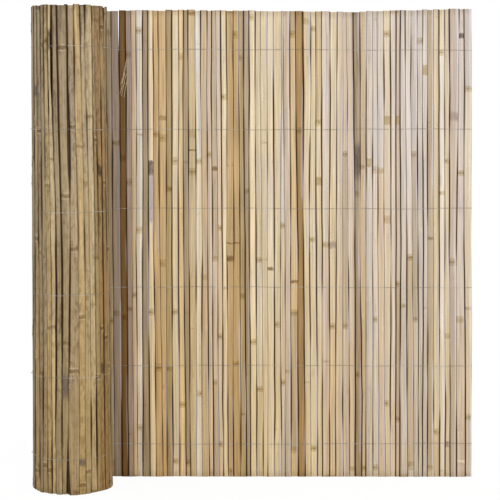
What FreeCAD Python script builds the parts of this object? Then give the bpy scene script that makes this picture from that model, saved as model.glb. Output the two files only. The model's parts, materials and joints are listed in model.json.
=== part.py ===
import FreeCAD, Part
import math
import os
import random

import Sketcher

# A bamboo screening mat standing on end. Its free stretch is opened out flat towards +X, and
# the rest is still wound up at its other end, as it is when someone starts to unroll it.
# Seen from above, the flat stretch leaves the back (+Y) of the roll along the roll's tangent.
# Every slat has a flat split face towards the roll's axis and a rounded skin on the outside.
# All values are millimetres.

SIZES = {
    # The mat
    "mat_length": 3000,
    "open_length": 847,
    "slat_length": 1000,
    "slat_gap": 0.9,
    # The slats, sorted by how wide the cane was split
    "narrow_width": 9.5,
    "medium_width": 11.5,
    "wide_width": 13.5,
    "broad_width": 15.5,
    "cane_radius": 27.0,
    "skin_thickness": 4.6,
    # The roll: its hollow, and the slack between one turn's wire and the next turn's
    "hollow_radius": 38.8,
    "turn_slack": 0.8,
    # The binding wire, with the distances from the slats' ends to the outer rows
    "wire_diameter": 0.8,
    "wire_clearance": 0.1,
    "wire_foot_margin": 72,
    "wire_head_margin": 83,
}

WIRE_ROWS = 6

# How often each grade turns up in ten slats, and the draw that mixes them
GRADE_SHARES = {"narrow": 2, "medium": 4, "wide": 3, "broad": 1}
MIXING_SEED = 23

# Where the flat stretch meets the roll, in degrees round its axis, seen from above
TANGENT_ANGLE = 90.0
QUARTER_TURN = 90.0
FULL_TURN = 360.0


def make_sheet(doc):
    """Put every driving dimension into the document's sheet, one named cell each."""
    sheet = doc.addObject("Spreadsheet::Sheet", "Sizes")
    for row, (alias, value) in enumerate(SIZES.items(), start=1):
        sheet.set(f"A{row}", alias)
        sheet.set(f"B{row}", str(value))
        sheet.setAlias(f"B{row}", alias)
    doc.recompute()
    return sheet


# Slat sections

def draw_section(doc, grade):
    """Section of one grade of slat: flat split face on the X axis, the cane's skin above it."""
    sketch = doc.addObject("Sketcher::SketchObject", f"{grade}_section")
    sketch.Label = f"{grade}_section"
    half = SIZES[f"{grade}_width"] / 2
    radius = SIZES["cane_radius"]
    depth = radius - SIZES["skin_thickness"]
    edge = math.sqrt(radius ** 2 - half ** 2) - depth
    spread = math.asin(half / radius)
    upright = math.pi / 2

    corners = [
        FreeCAD.Vector(-half, 0, 0),
        FreeCAD.Vector(half, 0, 0),
        FreeCAD.Vector(half, edge, 0),
        FreeCAD.Vector(-half, edge, 0),
    ]
    cane = Part.Circle(FreeCAD.Vector(0, -depth, 0), FreeCAD.Vector(0, 0, 1), radius)
    face = sketch.addGeometry(Part.LineSegment(corners[0], corners[1]))
    right = sketch.addGeometry(Part.LineSegment(corners[1], corners[2]))
    skin = sketch.addGeometry(Part.ArcOfCircle(cane, upright - spread, upright + spread))
    left = sketch.addGeometry(Part.LineSegment(corners[3], corners[0]))

    first, last, centre = 1, 2, 3
    x_axis, y_axis = -1, -2
    joins = [(face, last, right, first), (right, last, skin, first),
             (skin, last, left, first), (left, last, face, first)]
    for join in joins:
        sketch.addConstraint(Sketcher.Constraint("Coincident", *join))
    sketch.addConstraint(Sketcher.Constraint("Symmetric", face, first, face, last, y_axis))
    sketch.addConstraint(Sketcher.Constraint("PointOnObject", face, first, x_axis))
    sketch.addConstraint(Sketcher.Constraint("Vertical", right))
    sketch.addConstraint(Sketcher.Constraint("Vertical", left))
    sketch.addConstraint(Sketcher.Constraint("Equal", right, left))

    drives = [
        ("slat_width", Sketcher.Constraint("DistanceX", face, first, face, last, 2 * half),
         f"Sizes.{grade}_width"),
        ("skin_radius", Sketcher.Constraint("Radius", skin, radius),
         "Sizes.cane_radius"),
        ("cane_depth", Sketcher.Constraint("DistanceY", skin, centre, x_axis, first, depth),
         "Sizes.cane_radius - Sizes.skin_thickness"),
    ]
    for name, constraint, source in drives:
        index = sketch.addConstraint(constraint)
        sketch.renameConstraint(index, name)
        sketch.setExpression(f"Constraints.{name}", source)
    return sketch


# Layout of the mat, seen from above, with the roll's axis at the origin

def grade_draw():
    """Grades in the mixed order in which slats come to the loom."""
    draw = random.Random(MIXING_SEED)
    grades = list(GRADE_SHARES)
    shares = list(GRADE_SHARES.values())
    while True:
        yield draw.choices(grades, shares)[0]


def turn_pitch(sheet):
    """Room that one turn takes: a slat, a strand on each side of it, and the slack."""
    return sheet.skin_thickness + 2 * sheet.wire_diameter + sheet.turn_slack


def roll_face_radius(sheet):
    """Distance from the roll's axis to the flat stretch's split faces.

    The wound part of the mat fills the ring between this radius and the hollow.
    """
    wound = sheet.mat_length - sheet.open_length
    return math.sqrt(sheet.hollow_radius ** 2 + wound * turn_pitch(sheet) / math.pi)


def winding_radius(sheet, angle):
    """Distance from the roll's axis to the split faces where the mat has wound to an angle."""
    turns = (angle - TANGENT_ANGLE) / FULL_TURN
    return roll_face_radius(sheet) - turns * turn_pitch(sheet)


def half_angle(width, radius):
    """Angle that half a slat takes up on the roll."""
    return math.degrees(math.atan2(width / 2, radius))


def lay_out_mat(sheet):
    """Station of every slat, from the free edge to the middle of the roll.

    A station is the slat's grade and width, the angle that its skin faces, the distance of
    its split face from the roll's axis, and its shift along the flat stretch.
    """
    stations = []
    used = 0.0
    edge = sheet.open_length
    angle = None
    for grade in grade_draw():
        width = getattr(sheet, f"{grade}_width")
        if used + width > sheet.mat_length:
            return stations
        used += width + sheet.slat_gap
        shift = 0.0
        if angle is None and edge > width / 2:
            radius = roll_face_radius(sheet)
            facing = TANGENT_ANGLE
            shift = edge - width / 2
            edge -= width + sheet.slat_gap
        elif angle is None:
            past = (width / 2 - edge) / roll_face_radius(sheet)
            angle = TANGENT_ANGLE + math.degrees(past)
            facing = angle
            radius = winding_radius(sheet, angle)
        else:
            before = stations[-1]
            angle += half_angle(before["width"], before["radius"])
            angle += half_angle(width, winding_radius(sheet, angle))
            angle += math.degrees(sheet.slat_gap / before["radius"])
            facing = angle
            radius = winding_radius(sheet, angle)
        stations.append({
            "grade": grade, "width": width, "facing": facing,
            "radius": radius, "shift": shift,
        })


def direction(angle):
    """Unit vector at an angle seen from above."""
    turn = math.radians(angle)
    return FreeCAD.Vector(math.cos(turn), math.sin(turn), 0)


def station_placement(station):
    """Placement that carries a section from the sheet's origin to its station."""
    turn = FreeCAD.Rotation(FreeCAD.Vector(0, 0, 1), station["facing"] - TANGENT_ANGLE)
    place = direction(station["facing"]) * station["radius"]
    return FreeCAD.Placement(place + FreeCAD.Vector(station["shift"], 0, 0), turn)


def is_open(station):
    """True for a slat of the flat stretch."""
    return station["facing"] == TANGENT_ANGLE


def node_of(station):
    """Name of the node that holds a slat: the open screen, or its turn of the roll."""
    if is_open(station):
        return "open_screen_slats"
    turn = int((station["facing"] - TANGENT_ANGLE) / FULL_TURN) + 1
    return f"roll_turn_{turn}_slats"


# The binding wire, drawn as a ribbon in the plane of its row

def face_crossing(before, after, offset):
    """Where two neighbouring slats' face lines meet, both moved outwards by an offset."""
    one = direction(before["facing"])
    two = direction(after["facing"])
    reach_one = before["radius"] + offset
    reach_two = after["radius"] + offset
    cross = one.x * two.y - one.y * two.x
    return FreeCAD.Vector(
        (reach_one * two.y - reach_two * one.y) / cross,
        (reach_two * one.x - reach_one * two.x) / cross,
        0,
    )


def strand_line(stations, offset, free_end):
    """Line of a strand along the mat at an offset from the split faces."""
    points = [FreeCAD.Vector(free_end, stations[0]["radius"] + offset, 0)]
    for before, after in zip(stations, stations[1:]):
        if not is_open(after):
            points.append(face_crossing(before, after, offset))
    last = stations[-1]
    along = direction(last["facing"] + QUARTER_TURN) * (last["width"] / 2)
    points.append(direction(last["facing"]) * (last["radius"] + offset) + along)
    return points


def wire_ribbon(sheet, stations):
    """Outline of one row of binding wire.

    One strand runs behind the skins from the middle of the roll to the free edge, turns
    round the last slat and comes back in front of the split faces for one turn of the roll.
    """
    thick = sheet.wire_diameter
    clear = sheet.wire_clearance
    inside = sheet.open_length + clear
    outside = inside + thick
    on_skin = sheet.skin_thickness + clear
    on_face = -clear
    first_turn = [s for s in stations if s["facing"] < TANGENT_ANGLE + FULL_TURN]

    outline = strand_line(stations, on_skin + thick, outside)[::-1]
    outline += strand_line(first_turn, on_face - thick, outside)
    outline += strand_line(first_turn, on_face, inside)[::-1]
    outline += strand_line(stations, on_skin, inside)
    return Part.Face(Part.makePolygon(outline + outline[:1]))


# Document objects

def add_profile(doc, name, shape, centring):
    """Keep a flat profile in the document, moved so that the whole mat is centred."""
    profile = doc.addObject("Part::Feature", name)
    profile.Shape = shape
    profile.Placement = FreeCAD.Placement(centring, FreeCAD.Rotation())
    return profile


def add_extrusion(doc, node, profile, length):
    """Raise a profile along +Z by a length taken from the sheet."""
    solid = doc.addObject("Part::Extrusion", node)
    solid.Label = node
    solid.Base = profile
    solid.DirMode = "Custom"
    solid.Dir = FreeCAD.Vector(0, 0, 1)
    solid.Solid = True
    solid.setExpression("LengthFwd", length)
    return solid


def plan_centring(layers):
    """Shift that puts the middle of the mat's plan on the origin."""
    box = FreeCAD.BoundBox()
    for shape in layers:
        box.add(shape.BoundBox)
    return FreeCAD.Vector(-box.Center.x, -box.Center.y, 0)


def build_slats(doc, plans, centring):
    """One object for the open screen and one for each turn of the roll."""
    slats = []
    for node, plan in plans.items():
        profile = add_profile(doc, f"{node}_plan", plan, centring)
        slats.append(add_extrusion(doc, node, profile, "Sizes.slat_length"))
    return slats


def build_wires(doc, ribbon, centring):
    """The rows of binding wire, evenly spaced between the margins at the slats' ends."""
    profile = add_profile(doc, "binding_wire_plan", ribbon, centring)
    span = "(Sizes.slat_length - Sizes.wire_foot_margin - Sizes.wire_head_margin)"
    wires = []
    for row in range(WIRE_ROWS):
        wire = add_extrusion(doc, f"binding_wire_{row + 1}", profile, "Sizes.wire_diameter")
        share = f"{row} / {WIRE_ROWS - 1}"
        middle = f"Sizes.wire_foot_margin + {span} * {share}"
        wire.setExpression("Placement.Base.z", f"{middle} - Sizes.wire_diameter / 2")
        wires.append(wire)
    return wires


def slat_plans(doc, stations):
    """Sections of the slats of each node, standing at their stations."""
    sections = {grade: draw_section(doc, grade) for grade in GRADE_SHARES}
    doc.recompute()
    faces = {grade: Part.Face(sketch.Shape.Wires[0]) for grade, sketch in sections.items()}
    plans = {}
    for station in stations:
        face = faces[station["grade"]].copy()
        face.Placement = station_placement(station)
        plans.setdefault(node_of(station), []).append(face)
    return {node: Part.makeCompound(cut) for node, cut in plans.items()}


def check_objects(doc, pieces):
    """Stop if any object failed to build or any piece is not a sound solid."""
    for item in doc.Objects:
        if "Invalid" in item.State or "Error" in item.State:
            raise RuntimeError(f"{item.Name} failed: {item.State}")
    for piece in pieces:
        if piece.Shape.isNull() or not piece.Shape.isValid() or not piece.Shape.Solids:
            raise RuntimeError(f"{piece.Label} is not a sound solid")


def main():
    doc = FreeCAD.newDocument("bamboo_screening_roll")
    sheet = make_sheet(doc)
    stations = lay_out_mat(sheet)
    plans = slat_plans(doc, stations)
    ribbon = wire_ribbon(sheet, stations)
    centring = plan_centring(list(plans.values()) + [ribbon])
    pieces = build_slats(doc, plans, centring)
    pieces += build_wires(doc, ribbon, centring)
    doc.recompute()
    check_objects(doc, pieces)

    os.makedirs("parts", exist_ok=True)
    for piece in pieces:
        piece.Shape.exportStep(f"parts/{piece.Label}.step")
        print(piece.Label, len(piece.Shape.Solids), "solids", round(piece.Shape.Volume))
    print(len(stations), "slats, roll axis at", centring, "hollow", 2 * stations[-1]["radius"])


main()
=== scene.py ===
import json
import math
import random

import bmesh
import bpy
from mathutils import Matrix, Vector


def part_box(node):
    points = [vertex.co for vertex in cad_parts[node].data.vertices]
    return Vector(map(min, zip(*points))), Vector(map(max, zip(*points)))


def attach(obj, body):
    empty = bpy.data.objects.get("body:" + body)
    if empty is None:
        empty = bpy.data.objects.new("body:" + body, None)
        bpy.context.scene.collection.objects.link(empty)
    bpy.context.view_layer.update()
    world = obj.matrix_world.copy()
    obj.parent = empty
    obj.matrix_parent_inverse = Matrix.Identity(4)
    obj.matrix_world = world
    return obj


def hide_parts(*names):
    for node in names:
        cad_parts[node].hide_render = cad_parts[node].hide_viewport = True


# Looks of a bamboo screening mat that stands on end, its free stretch opened out flat towards
# +X and the rest still rolled up. Every slat is grown on its own place in the CAD frame, and
# the binding wire is wound round the slats. All values are metres unless a name says otherwise.

bl_info = {
    "name": "Bamboo screening roll",
    "version": (1, 0, 0),
    "blender": (4, 5, 0),
    "location": "3D View > Sidebar > Bamboo screen",
    "description": "Dresses the frame of a bamboo screening roll with slats, wire and light",
    "category": "Object",
}

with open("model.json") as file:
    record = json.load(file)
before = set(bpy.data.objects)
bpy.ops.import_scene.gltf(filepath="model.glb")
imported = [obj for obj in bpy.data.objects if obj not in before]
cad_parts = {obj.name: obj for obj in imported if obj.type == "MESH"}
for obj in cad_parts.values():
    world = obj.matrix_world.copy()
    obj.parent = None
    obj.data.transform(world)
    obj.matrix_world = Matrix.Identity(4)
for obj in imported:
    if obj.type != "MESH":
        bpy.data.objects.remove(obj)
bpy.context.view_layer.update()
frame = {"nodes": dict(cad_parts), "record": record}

OPEN_NODE = "open_screen_slats"
TURN_NODES = sorted(name for name in frame["nodes"] if name.startswith("roll_turn_"))
WIRE_NODES = sorted(name for name in frame["nodes"] if name.startswith("binding_wire_"))
BAMBOO_SLOT = "bamboo"
WIRE_SLOT = "galvanised_wire"

UP = Vector((0, 0, 1))
EAST = Vector((1, 0, 0))
OUT_OF_SCREEN = Vector((0, 1, 0))
WELD_DISTANCE = 1e-6
PEAK = 255


# Settings that a user would change

def linear(*levels):
    """Scene colour of three screen levels from 0 to 255."""
    shares = [level / PEAK for level in levels]
    return [s / 12.92 if s <= 0.04045 else ((s + 0.055) / 1.055) ** 2.4 for s in shares]


def tone(name, red, green, blue, use):
    """Colour property, given as screen levels."""
    return bpy.props.FloatVectorProperty(
        name=name, description=use, default=linear(red, green, blue),
        subtype="COLOR", size=3, min=0.0, max=1.0,
    )


def length(name, millimetres, use):
    """Length property, given in millimetres."""
    return bpy.props.FloatProperty(
        name=name, description=use, default=millimetres / 1000, precision=5, unit="LENGTH",
    )


def number(name, value, use):
    """Plain number property."""
    return bpy.props.FloatProperty(name=name, description=use, default=value)


class SlatSettings(bpy.types.PropertyGroup):
    """Shape of the slats."""
    clearance: length("Clearance", 0.12, "Gap left between neighbouring slats")
    slant: length("Side slant", 1.0, "How far a slat's sides lean from its face to its skin")
    cane_radius: length("Cane radius", 27, "Radius of the cane that the slats were split from")
    wander: length("Wander", 2.2, "How far the line between two slats strays from straight")
    bow: length("Bow", 1.1, "How far a slat bows in or out between two rows of wire")
    twist: number("Twist", 0.16, "How far a slat turns about its length, in radians")
    ridge: length("Ridge", 0.7, "Height of the ridges at a knuckle")
    swelling: length("Swelling", 0.5, "Height of the wide swelling at a knuckle")
    ragged: length("Ragged ends", 0.8, "How unevenly the slats are cut")
    fibre: length("Fibre", 0.9, "Thickness of a loose fibre")
    crowding: number("Crowding", 0.86, "How closely the rings of a slat crowd at its knuckles")
    shown_rings: bpy.props.IntProperty(
        name="Rings of a shown slat", description="Rings along each slat in view", default=96)
    hidden_rings: bpy.props.IntProperty(
        name="Rings of a hidden slat", description="Rings along each slat inside the roll",
        default=14)


class WireSettings(bpy.types.PropertyGroup):
    """Shape of the binding wire."""
    diameter: length("Wire diameter", 0.8, "Thickness of one strand")
    standoff: length("Stand-off", 0.08, "Gap between a strand and the slat that it crosses")
    winding: length("Winding", 0.45, "How far the strands part where they cross")
    stray: length("Stray", 1.3, "How far a row strays from level")


class ToneSettings(bpy.types.PropertyGroup):
    """Colours of the split faces, of the cane's skin and of the wire."""
    pale: tone("Pale", 254, 243, 228, "Split face, nearly white")
    cream: tone("Cream", 248, 229, 194, "Split face, pale")
    straw: tone("Straw", 241, 213, 167, "Split face, yellow")
    linen: tone("Linen", 238, 225, 210, "Split face, pale pinkish grey")
    sand: tone("Sand", 235, 209, 174, "Split face, plain")
    rose: tone("Rose", 236, 216, 194, "Split face, pinkish")
    amber: tone("Amber", 224, 192, 144, "Split face, warm")
    bronze: tone("Bronze", 186, 152, 106, "Split face, orange brown")
    taupe: tone("Taupe", 196, 176, 148, "Split face, greyish brown")
    olive: tone("Olive", 202, 177, 133, "Split face, olive brown")
    ash: tone("Ash", 200, 188, 184, "Split face, weathered to lilac grey")
    mauve: tone("Mauve", 178, 160, 146, "Split face, weathered dark")
    umber: tone("Umber", 136, 104, 62, "Split face, dark brown")
    husk: tone("Husk", 212, 192, 154, "Skin, cream")
    honey: tone("Honey", 200, 175, 130, "Skin, yellow")
    hay: tone("Hay", 196, 175, 136, "Skin, plain")
    dun: tone("Dun", 188, 168, 136, "Skin, greyish tan")
    clay: tone("Clay", 181, 162, 128, "Skin, pale brown")
    drab: tone("Drab", 174, 156, 127, "Skin, grey brown")
    moss: tone("Moss", 176, 155, 114, "Skin, olive")
    tawny: tone("Tawny", 182, 152, 106, "Skin, amber brown")
    groove: tone("Groove", 52, 32, 12, "Dirt and shade between the slats")
    # Painted skylight: lilac grey on a slat's turned side where it catches the sky; sheen is the
    # same near the free edge
    haze: tone("Haze", 192, 178, 180, "Lilac grey of a slat's turned side near the roll")
    sheen: tone("Sheen", 246, 238, 246, "The same near the free edge")
    # Scar: the knuckle ridges' own pale colour, with a painted highlight along their tops
    scar: tone("Scar", 216, 196, 156, "Raised line at a knuckle of the skin")
    mould: tone("Mould", 84, 72, 58, "Dark weathered specks")
    smudge: tone("Smudge", 112, 98, 86, "Dark grey marks")
    block: tone("Block", 196, 172, 126, "Olive marks")
    fibre: tone("Fibre", 236, 214, 172, "Loose fibres")
    zinc: tone("Zinc", 154, 146, 132, "Dull zinc of the wire")
    # Shine: painted highlight on bright stretches of the wire
    shine: tone("Shine", 214, 212, 204, "Bright stretches of the wire")


class StageSettings(bpy.types.PropertyGroup):
    """Camera, floor and light."""
    lens: number("Lens", 108.2, "Focal length in millimetres on a 36 mm sensor")
    tilt: bpy.props.FloatProperty(
        name="Tilt", description="How far the camera looks down",
        default=math.radians(2.374), unit="ROTATION")
    rise: number("Rise", -0.12, "Vertical shift of the picture, as a share of its width")
    floor_tone: tone("Floor", 240, 240, 240, "Colour of the floor")
    sky: number("Sky", 0.72, "Strength of the even light from all round")
    lamp: number("Lamp", 26.0, "Power of the soft lamp in front, in watts")


# Node trees, written as Python expressions

def arithmetic(kind, swapped=False):
    """Operator between a signal and another value, which adds a Math node."""
    def operator(signal, other):
        values = (other, signal) if swapped else (signal, other)
        return signal.graph.maths(kind, *values)
    return operator


class Signal:
    """A socket of a node tree that takes part in Python arithmetic as plain numbers do."""

    def __init__(self, graph, socket):
        self.graph = graph
        self.socket = socket

    __add__ = arithmetic("ADD")
    __radd__ = arithmetic("ADD", swapped=True)
    __sub__ = arithmetic("SUBTRACT")
    __rsub__ = arithmetic("SUBTRACT", swapped=True)
    __mul__ = arithmetic("MULTIPLY")
    __rmul__ = arithmetic("MULTIPLY", swapped=True)
    __truediv__ = arithmetic("DIVIDE")
    __rtruediv__ = arithmetic("DIVIDE", swapped=True)

    def __neg__(self):
        return self * -1.0


def find_socket(sockets, key):
    """Socket by its number, its identifier or its name."""
    if isinstance(key, int):
        return sockets[key]
    for socket in sockets:
        if socket.identifier == key:
            return socket
    for socket in sockets:
        if socket.name == key and socket.enabled:
            return socket
    raise KeyError(f"no socket {key} among {[s.identifier for s in sockets]}")


class Graph:
    """A node tree and the ways in which nodes are added to it."""

    def __init__(self, tree):
        self.tree = tree

    def add(self, kind, settings=None, inputs=None, output=0):
        """Add a node: its settings first, then the values or links of its sockets."""
        node = self.tree.nodes.new(kind)
        for name, value in (settings or {}).items():
            setattr(node, name, value)
        for key, value in (inputs or {}).items():
            socket = find_socket(node.inputs, key)
            if isinstance(value, Signal):
                self.tree.links.new(value.socket, socket)
            else:
                socket.default_value = value
        if not node.outputs:
            return node
        return Signal(self, find_socket(node.outputs, output))

    def maths(self, operation, *values):
        """One Math node."""
        return self.add("ShaderNodeMath", {"operation": operation}, dict(enumerate(values)))

    def vector(self, operation, *values):
        """One Vector Math node that gives a vector."""
        return self.add("ShaderNodeVectorMath", {"operation": operation},
                        dict(enumerate(values)), "Vector")

    def scaled(self, vector, factor):
        """A vector or colour times a number."""
        return self.add("ShaderNodeVectorMath", {"operation": "SCALE"},
                        {"Vector": vector, "Scale": factor}, "Vector")

    def join(self, x, y, z):
        """A vector from three numbers."""
        return self.add("ShaderNodeCombineXYZ", {}, {"X": x, "Y": y, "Z": z})

    def part(self, vector, letter):
        """One number of a vector."""
        return self.add("ShaderNodeSeparateXYZ", {}, {"Vector": vector}, letter)

    def parts(self, vector):
        """The three numbers of a vector."""
        return [self.part(vector, letter) for letter in "XYZ"]

    def between(self, first, last, share, kind="Float"):
        """A number or vector part of the way from one to another."""
        return self.add("ShaderNodeMix", {"data_type": kind.upper(), "clamp_factor": False},
                        {"Factor_Float": share, f"A_{kind}": first, f"B_{kind}": last},
                        f"Result_{kind}")

    def blend(self, under, over, share, mode="MIX"):
        """Two colours mixed."""
        return self.add("ShaderNodeMix", {"data_type": "RGBA", "blend_type": mode},
                        {"Factor_Float": share, "A_Color": under, "B_Color": over},
                        "Result_Color")

    def ease(self, value, low, high, start=0.0, end=1.0):
        """Smooth step from start to end while the value goes from low to high."""
        return self.add("ShaderNodeMapRange", {"interpolation_type": "SMOOTHSTEP"},
                        {"Value": value, "From Min": low, "From Max": high,
                         "To Min": start, "To Max": end})

    def bell(self, distance, width):
        """Bell curve of a distance."""
        ratio = distance / width
        return self.maths("EXPONENT", -(ratio * ratio))

    def noise(self, vector, scale, detail=2.0, dimensions="3D"):
        """Noise from 0 to 1, mostly near a half."""
        return self.add("ShaderNodeTexNoise", {"noise_dimensions": dimensions},
                        {"Vector": vector, "Scale": scale, "Detail": detail})

    def wander(self, seed, place, detail=0.0):
        """Noise along a line, a different one for each seed."""
        return self.noise(self.join(seed, place, 0.0), 1.0, detail, "2D")

    def chance(self, seed, count):
        """Random number from 0 to 1 for each whole count."""
        return self.add("ShaderNodeTexWhiteNoise", {"noise_dimensions": "2D"},
                        {"Vector": self.join(seed, count, 0.0)}, "Value")

    def read(self, name, output="Fac"):
        """Number, or with another output a vector, that a material reads from the mesh."""
        return self.add("ShaderNodeAttribute", {"attribute_name": name}, {}, output)

    def carried(self, name, kind="FLOAT_VECTOR"):
        """Value that a geometry tree reads from a named attribute."""
        return self.add("GeometryNodeInputNamedAttribute", {"data_type": kind}, {"Name": name})

    def given(self, name):
        """Value of one of the tree's own inputs."""
        return self.add("NodeGroupInput", output=name)

    def store(self, geometry, name, value, kind="FLOAT"):
        """Write a value to a named attribute of the points."""
        return self.add("GeometryNodeStoreNamedAttribute", {"data_type": kind},
                        {"Geometry": geometry, "Name": name, "Value": value})

    def finish(self, geometry):
        """Realize the instances, give the material and end the tree."""
        solid = self.add("GeometryNodeRealizeInstances", {}, {"Geometry": geometry})
        finished = self.add("GeometryNodeSetMaterial", {},
                            {"Geometry": solid, "Material": self.given("Material")})
        self.add("NodeGroupOutput", {}, {"Geometry": finished})


def new_geometry_tree(name, sizes, others):
    """Empty geometry tree with named inputs: sizes are numbers, others have their own type."""
    tree = bpy.data.node_groups.new(name, "GeometryNodeTree")
    geometry = "NodeSocketGeometry"
    tree.interface.new_socket("Geometry", in_out="INPUT", socket_type=geometry)
    for label in sizes:
        tree.interface.new_socket(label, in_out="INPUT", socket_type="NodeSocketFloat")
    for label, kind in others.items():
        tree.interface.new_socket(label, in_out="INPUT", socket_type=kind)
    tree.interface.new_socket("Geometry", in_out="OUTPUT", socket_type=geometry)
    return Graph(tree)


# Meshes

PLAIN_ATTRIBUTES = ("sharp_edge", "sharp_face", "material_index")


def new_object(name, data):
    """Object of the scene."""
    thing = bpy.data.objects.new(name, data)
    bpy.context.scene.collection.objects.link(thing)
    return thing


def grow(name, seed_mesh, graph, values, kept):
    """Run a geometry tree on a mesh and return the result as a plain object.

    Only the attributes that the materials read are kept.
    """
    source = new_object(name, seed_mesh)
    modifier = source.modifiers.new(name, "NODES")
    modifier.node_group = graph.tree
    for item in graph.tree.interface.items_tree:
        if item.in_out == "INPUT" and item.name in values:
            modifier[item.identifier] = values[item.name]
    evaluated = source.evaluated_get(bpy.context.evaluated_depsgraph_get())
    mesh = bpy.data.meshes.new_from_object(evaluated)
    if not mesh.polygons:
        raise RuntimeError(f"{name} grew no faces")
    source.modifiers.remove(modifier)
    source.data = mesh
    mesh.name = name
    bpy.data.meshes.remove(seed_mesh)
    spare = [layer.name for layer in mesh.attributes if not layer.is_required
             and not layer.is_internal and layer.name not in (*kept, *PLAIN_ATTRIBUTES)]
    for name_of_layer in spare:
        mesh.attributes.remove(mesh.attributes[name_of_layer])
    return source


def put_in_part(piece, slot, *nodes):
    """Make a piece part of the object, in place of its CAD nodes."""
    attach(piece, "root")
    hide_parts(*nodes)


def write_attribute(mesh, name, kind, values):
    """Store one value or vector for each vertex."""
    attribute = mesh.attributes.new(name, kind, "POINT")
    if kind == "FLOAT":
        attribute.data.foreach_set("value", values)
    else:
        attribute.data.foreach_set("vector", [part for value in values for part in value])


# Slats read from the frame

class Slat:
    """One strip of split cane: where it stands, which way its skin faces and its size."""

    def __init__(self, node, corners, facing):
        self.turn = TURN_NODES.index(node) + 1 if node in TURN_NODES else 0
        self.facing = facing
        self.along = UP.cross(facing)
        across = [corner.dot(self.along) for corner in corners]
        outward = [corner.dot(facing) for corner in corners]
        self.width = max(across) - min(across)
        self.thickness = max(outward) - min(outward)
        self.height = max(corner.z for corner in corners)
        self.place = self.along * (max(across) + min(across)) / 2 + facing * min(outward)
        self.marks = []
        self.gaps = {"before": [], "after": []}

    def wound(self):
        """Angle from the back of the roll to this slat."""
        return math.atan2(self.facing.y, self.facing.x) - math.pi / 2

    def order(self):
        """Sorts slats along the mat, from the free edge to the middle of the roll."""
        if not self.turn:
            return 0, -self.place.x
        return self.turn, self.wound() % math.tau

    def lit(self, name):
        """One of the tones in this slat's own light."""
        levels = getattr(bpy.context.scene.bamboo_tones, name)
        return Vector(level * share for level, share in zip(levels, self.tint))


def loose_solids(node):
    """Corner points of each solid in a CAD node."""
    copy = bmesh.new()
    copy.from_mesh(frame["nodes"][node].data)
    bmesh.ops.remove_doubles(copy, verts=copy.verts, dist=WELD_DISTANCE)
    waiting = set(copy.verts)
    solids = []
    for start in copy.verts:
        if start not in waiting:
            continue
        waiting.remove(start)
        reached = [start]
        for vertex in reached:
            for edge in vertex.link_edges:
                other = edge.other_vert(vertex)
                if other in waiting:
                    waiting.remove(other)
                    reached.append(other)
        solids.append([vertex.co.copy() for vertex in reached])
    copy.free()
    return solids


# How the real mat differs from its plan

ROLL_GIRTH = {"foot": 0.0026, "head": -0.0025}
ROLL_SHIFT = {"foot": 0.0025, "head": -0.0012}
EDGE_SHIFT = {"foot": 0.0023, "head": -0.0036}

# Height of the cut ends above or below the plan, at distances from the free edge
HEAD_WAVE = [(0.0, 0.0035), (0.05, 0.003), (0.10, 0.0015), (0.17, 0.0), (0.24, -0.0022),
             (0.33, -0.0022), (0.38, -0.0004), (0.55, 0.0), (0.62, 0.0022), (0.68, 0.0)]
ROLL_FOOT_RISE = 0.0016

# Tones of the split faces, as shares at the roll's end and at the free edge
FACE_SHARES = {
    "pale": (1, 1), "cream": (8, 2), "straw": (7, -5), "linen": (-2, 9), "sand": (5, -1),
    "rose": (4, 5), "amber": (1, -1), "taupe": (1, 0.5),
}
SKIN_SHARES = {
    "husk": 1, "honey": 3, "hay": 3, "dun": 5, "clay": 3, "drab": 3, "moss": 4, "tawny": 2,
}

# Light of the open slats at the free edge, against that near the roll
EDGE_TINT = Vector((0.97, 0.985, 1.06))

# How late the shares change on the way from the roll to the free edge
SHARE_POWER = 1.3

# Tones that show much weathering, and those of a weathered stretch and how often it comes
WEATHERED = {"taupe", "mauve", "umber", "olive", "ash", "bronze", "amber"}
STRETCH_TONES = ("olive", "taupe", "sand")
WEATHERED_STRETCHES = 0.3

# Runs of slats that stand out, each from a distance to the free edge onwards
FACE_RUNS = {
    0.785: ("taupe", "mauve", "umber", "mauve", "sand", "pale", "taupe", "cream", "amber",
            "amber", "olive", "cream", "straw"),
    0.530: ("cream", "amber", "amber", "olive", "taupe", "cream"),
    0.367: ("bronze", "cream"),
    0.257: ("rose", "taupe", "sand", "linen"),
}

# The same at the roll's front, from a distance to the roll's axis towards -X
SKIN_RUNS = {
    0.080: ("moss", "moss", "drab", "honey", "drab", "clay", "honey", "husk", "dun",
            "clay", "dun", "honey", "hay", "husk", "moss", "tawny", "tawny", "clay", "moss"),
}

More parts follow.
